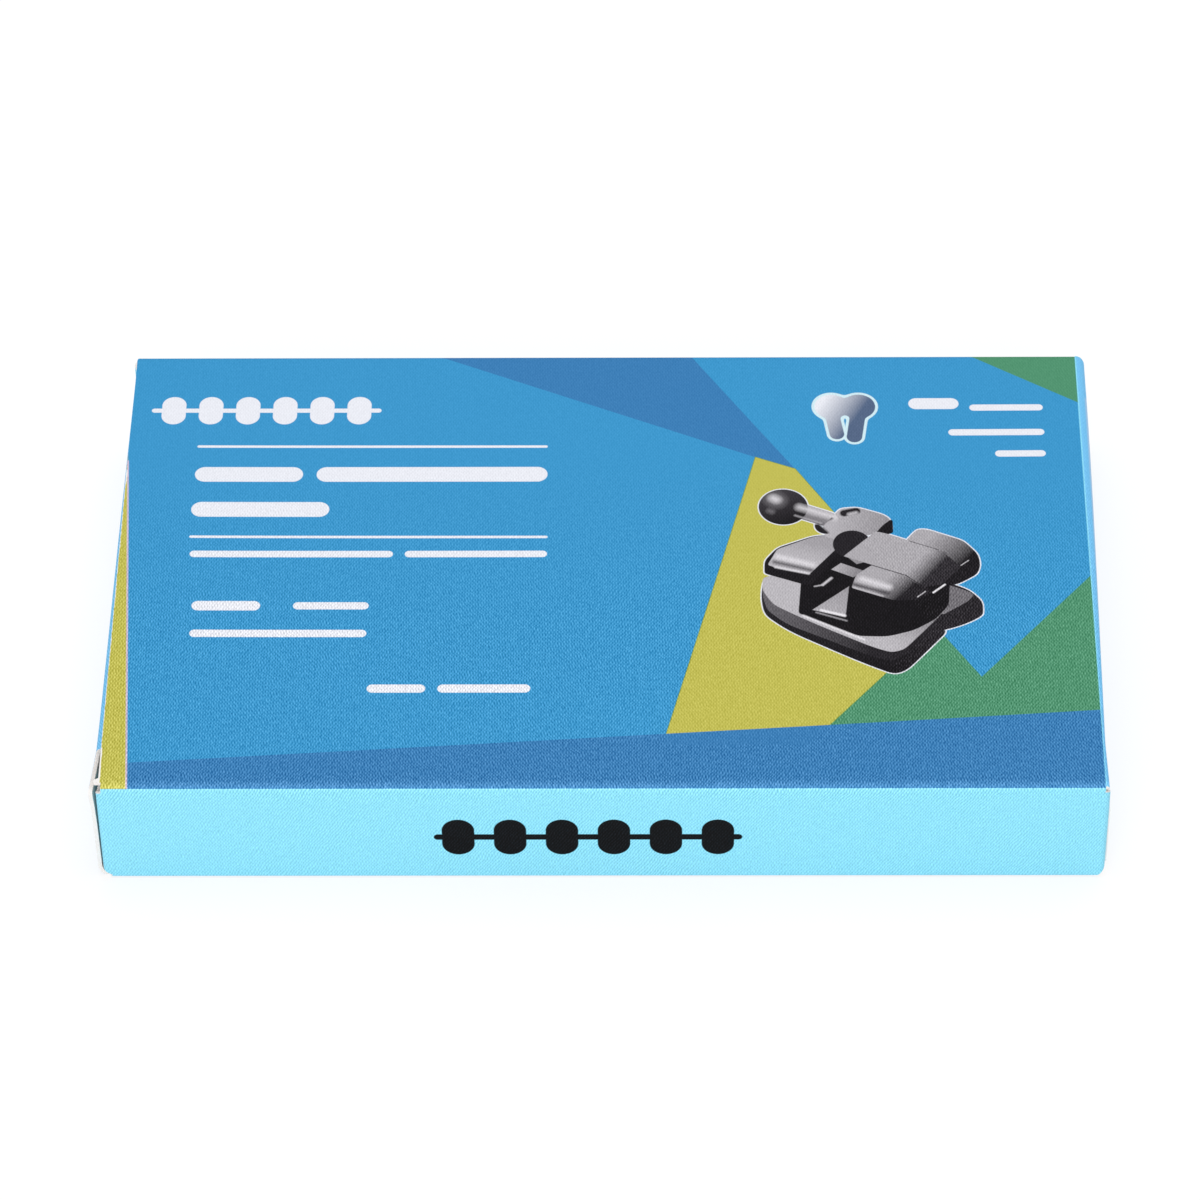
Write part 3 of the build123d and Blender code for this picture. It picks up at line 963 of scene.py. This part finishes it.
def make_lid(name, left):
    """A lid for the right end. The left one is the same, turned half round about the depth."""
    lid = cut_blank(name, lid_outline, lid_lines_u, lid_lines_v)
    fold(
        lid,
        [
            ("Tab curl", (1, 0, 0), tab_bent, curl_radius, curl_angle, None),
            ("Tab crease", (1, 0, 0), tab_start, tab_radius, tab_fold, None),
            ("Lid crease", (1, 0, 0), lid_start, lid_radius, pi / 2, None),
        ],
        card_finishes,
    )
    flat = lid.data.attributes["blank"]
    for corner, flat_corner in zip(lid.data.vertices, flat.data):
        u, v = flat_corner.vector.x * 1000, flat_corner.vector.y * 1000
        z = corner.co.z * 1000
        if left:
            up_the_wall = part_way(u, lid_start, ear_edge)
            along_ear = max(0, (-v - half_ear) / (half_lid - half_ear))
            flare = max(0, (u - flare_start) / 5) ** 2 * along_ear * (u < ear_edge + 0.01)
            press = pressed_in(-1, v, height - z) * up_the_wall
            corner.co.x += (ear_flare * flare - press) * 0.001
            corner.co.x = -corner.co.x
            corner.co.z = height * 0.001 - corner.co.z
            flat_corner.vector.x *= -1
            flat_corner.vector.y -= 0.001 * (base_start + base_end) / 2
        else:
            past_crease = part_way(u, lid_start, lid_start + lid_bend)
            corner.co.x -= pressed_in(1, v, z) * past_crease * 0.001
    smooth_creases(lid)
    return lid


right_lid = make_lid("right_lid_sheet", left=False)
left_lid = make_lid("left_lid_sheet", left=True)
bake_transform(right_lid)
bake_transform(left_lid)
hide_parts("right_tuck_lid")
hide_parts("left_tuck_lid")

# The carton lies on a plain white table top, which looks white past the carton's soft shadow.
# Two wide lamps and the pale room light it evenly.
table = bpy.data.objects.new("table_top", bpy.data.meshes.new("table_top"))
bm = bmesh.new()
bmesh.ops.create_grid(bm, x_segments=1, y_segments=1, size=3)
bm.to_mesh(table.data)
bm.free()
bpy.context.scene.collection.objects.link(table)
table_paint = bpy.data.materials.new("white table top")
table_paint.use_nodes = True
table_tree = table_paint.node_tree
table_tree.nodes.clear()
ray = add_node(table_tree, "ShaderNodeLightPath").outputs
seen = number(table_tree, "MAXIMUM", ray["Is Glossy Ray"], ray["Is Transmission Ray"])
seen = number(table_tree, "MAXIMUM", ray["Is Camera Ray"], seen)
table_white = 0.8
seen_white = 0.28
seen_glow = 0.75
matt_level = number(table_tree, "MULTIPLY_ADD", seen, seen_white - table_white, table_white)
matt_tone = add_node(table_tree, "ShaderNodeCombineXYZ", dict.fromkeys((0, 1, 2), matt_level))
matt = add_node(table_tree, "ShaderNodeBsdfDiffuse", {"Color": matt_tone.outputs[0]})
glow_level = number(table_tree, "MULTIPLY", seen, seen_glow)
glow = add_node(table_tree, "ShaderNodeEmission", {"Color": (1, 1, 1, 1), "Strength": glow_level})
both = add_node(table_tree, "ShaderNodeAddShader", {0: matt.outputs[0], 1: glow.outputs[0]})
add_node(table_tree, "ShaderNodeOutputMaterial", {0: both.outputs[0]})
table.data.materials.append(table_paint)


def soft_lamp(name, power, size, place):
    """A wide lamp at that place, turned to the middle of the carton's underside."""
    lamp_data = bpy.data.lights.new(name, "AREA")
    lamp_data.energy = power
    lamp_data.shape = "SQUARE"
    lamp_data.size = size
    lamp = bpy.data.objects.new(name, lamp_data)
    bpy.context.scene.collection.objects.link(lamp)
    lamp.location = place
    lamp.rotation_euler = (-Vector(place)).to_track_quat("-Z", "Y").to_euler()


soft_lamp("lamp_above", power=11, size=1.4, place=(0.1, 0.5, 1.6))
soft_lamp("lamp_in_front", power=13, size=1.2, place=(-0.2, -1.5, 0.7))
world = bpy.data.worlds.new("studio")
world.use_nodes = True
room_light = world.node_tree.nodes["Background"]
room_light.inputs["Color"].default_value = (1, 1, 1, 1)
room_light.inputs["Strength"].default_value = 0.58
bpy.context.scene.world = world
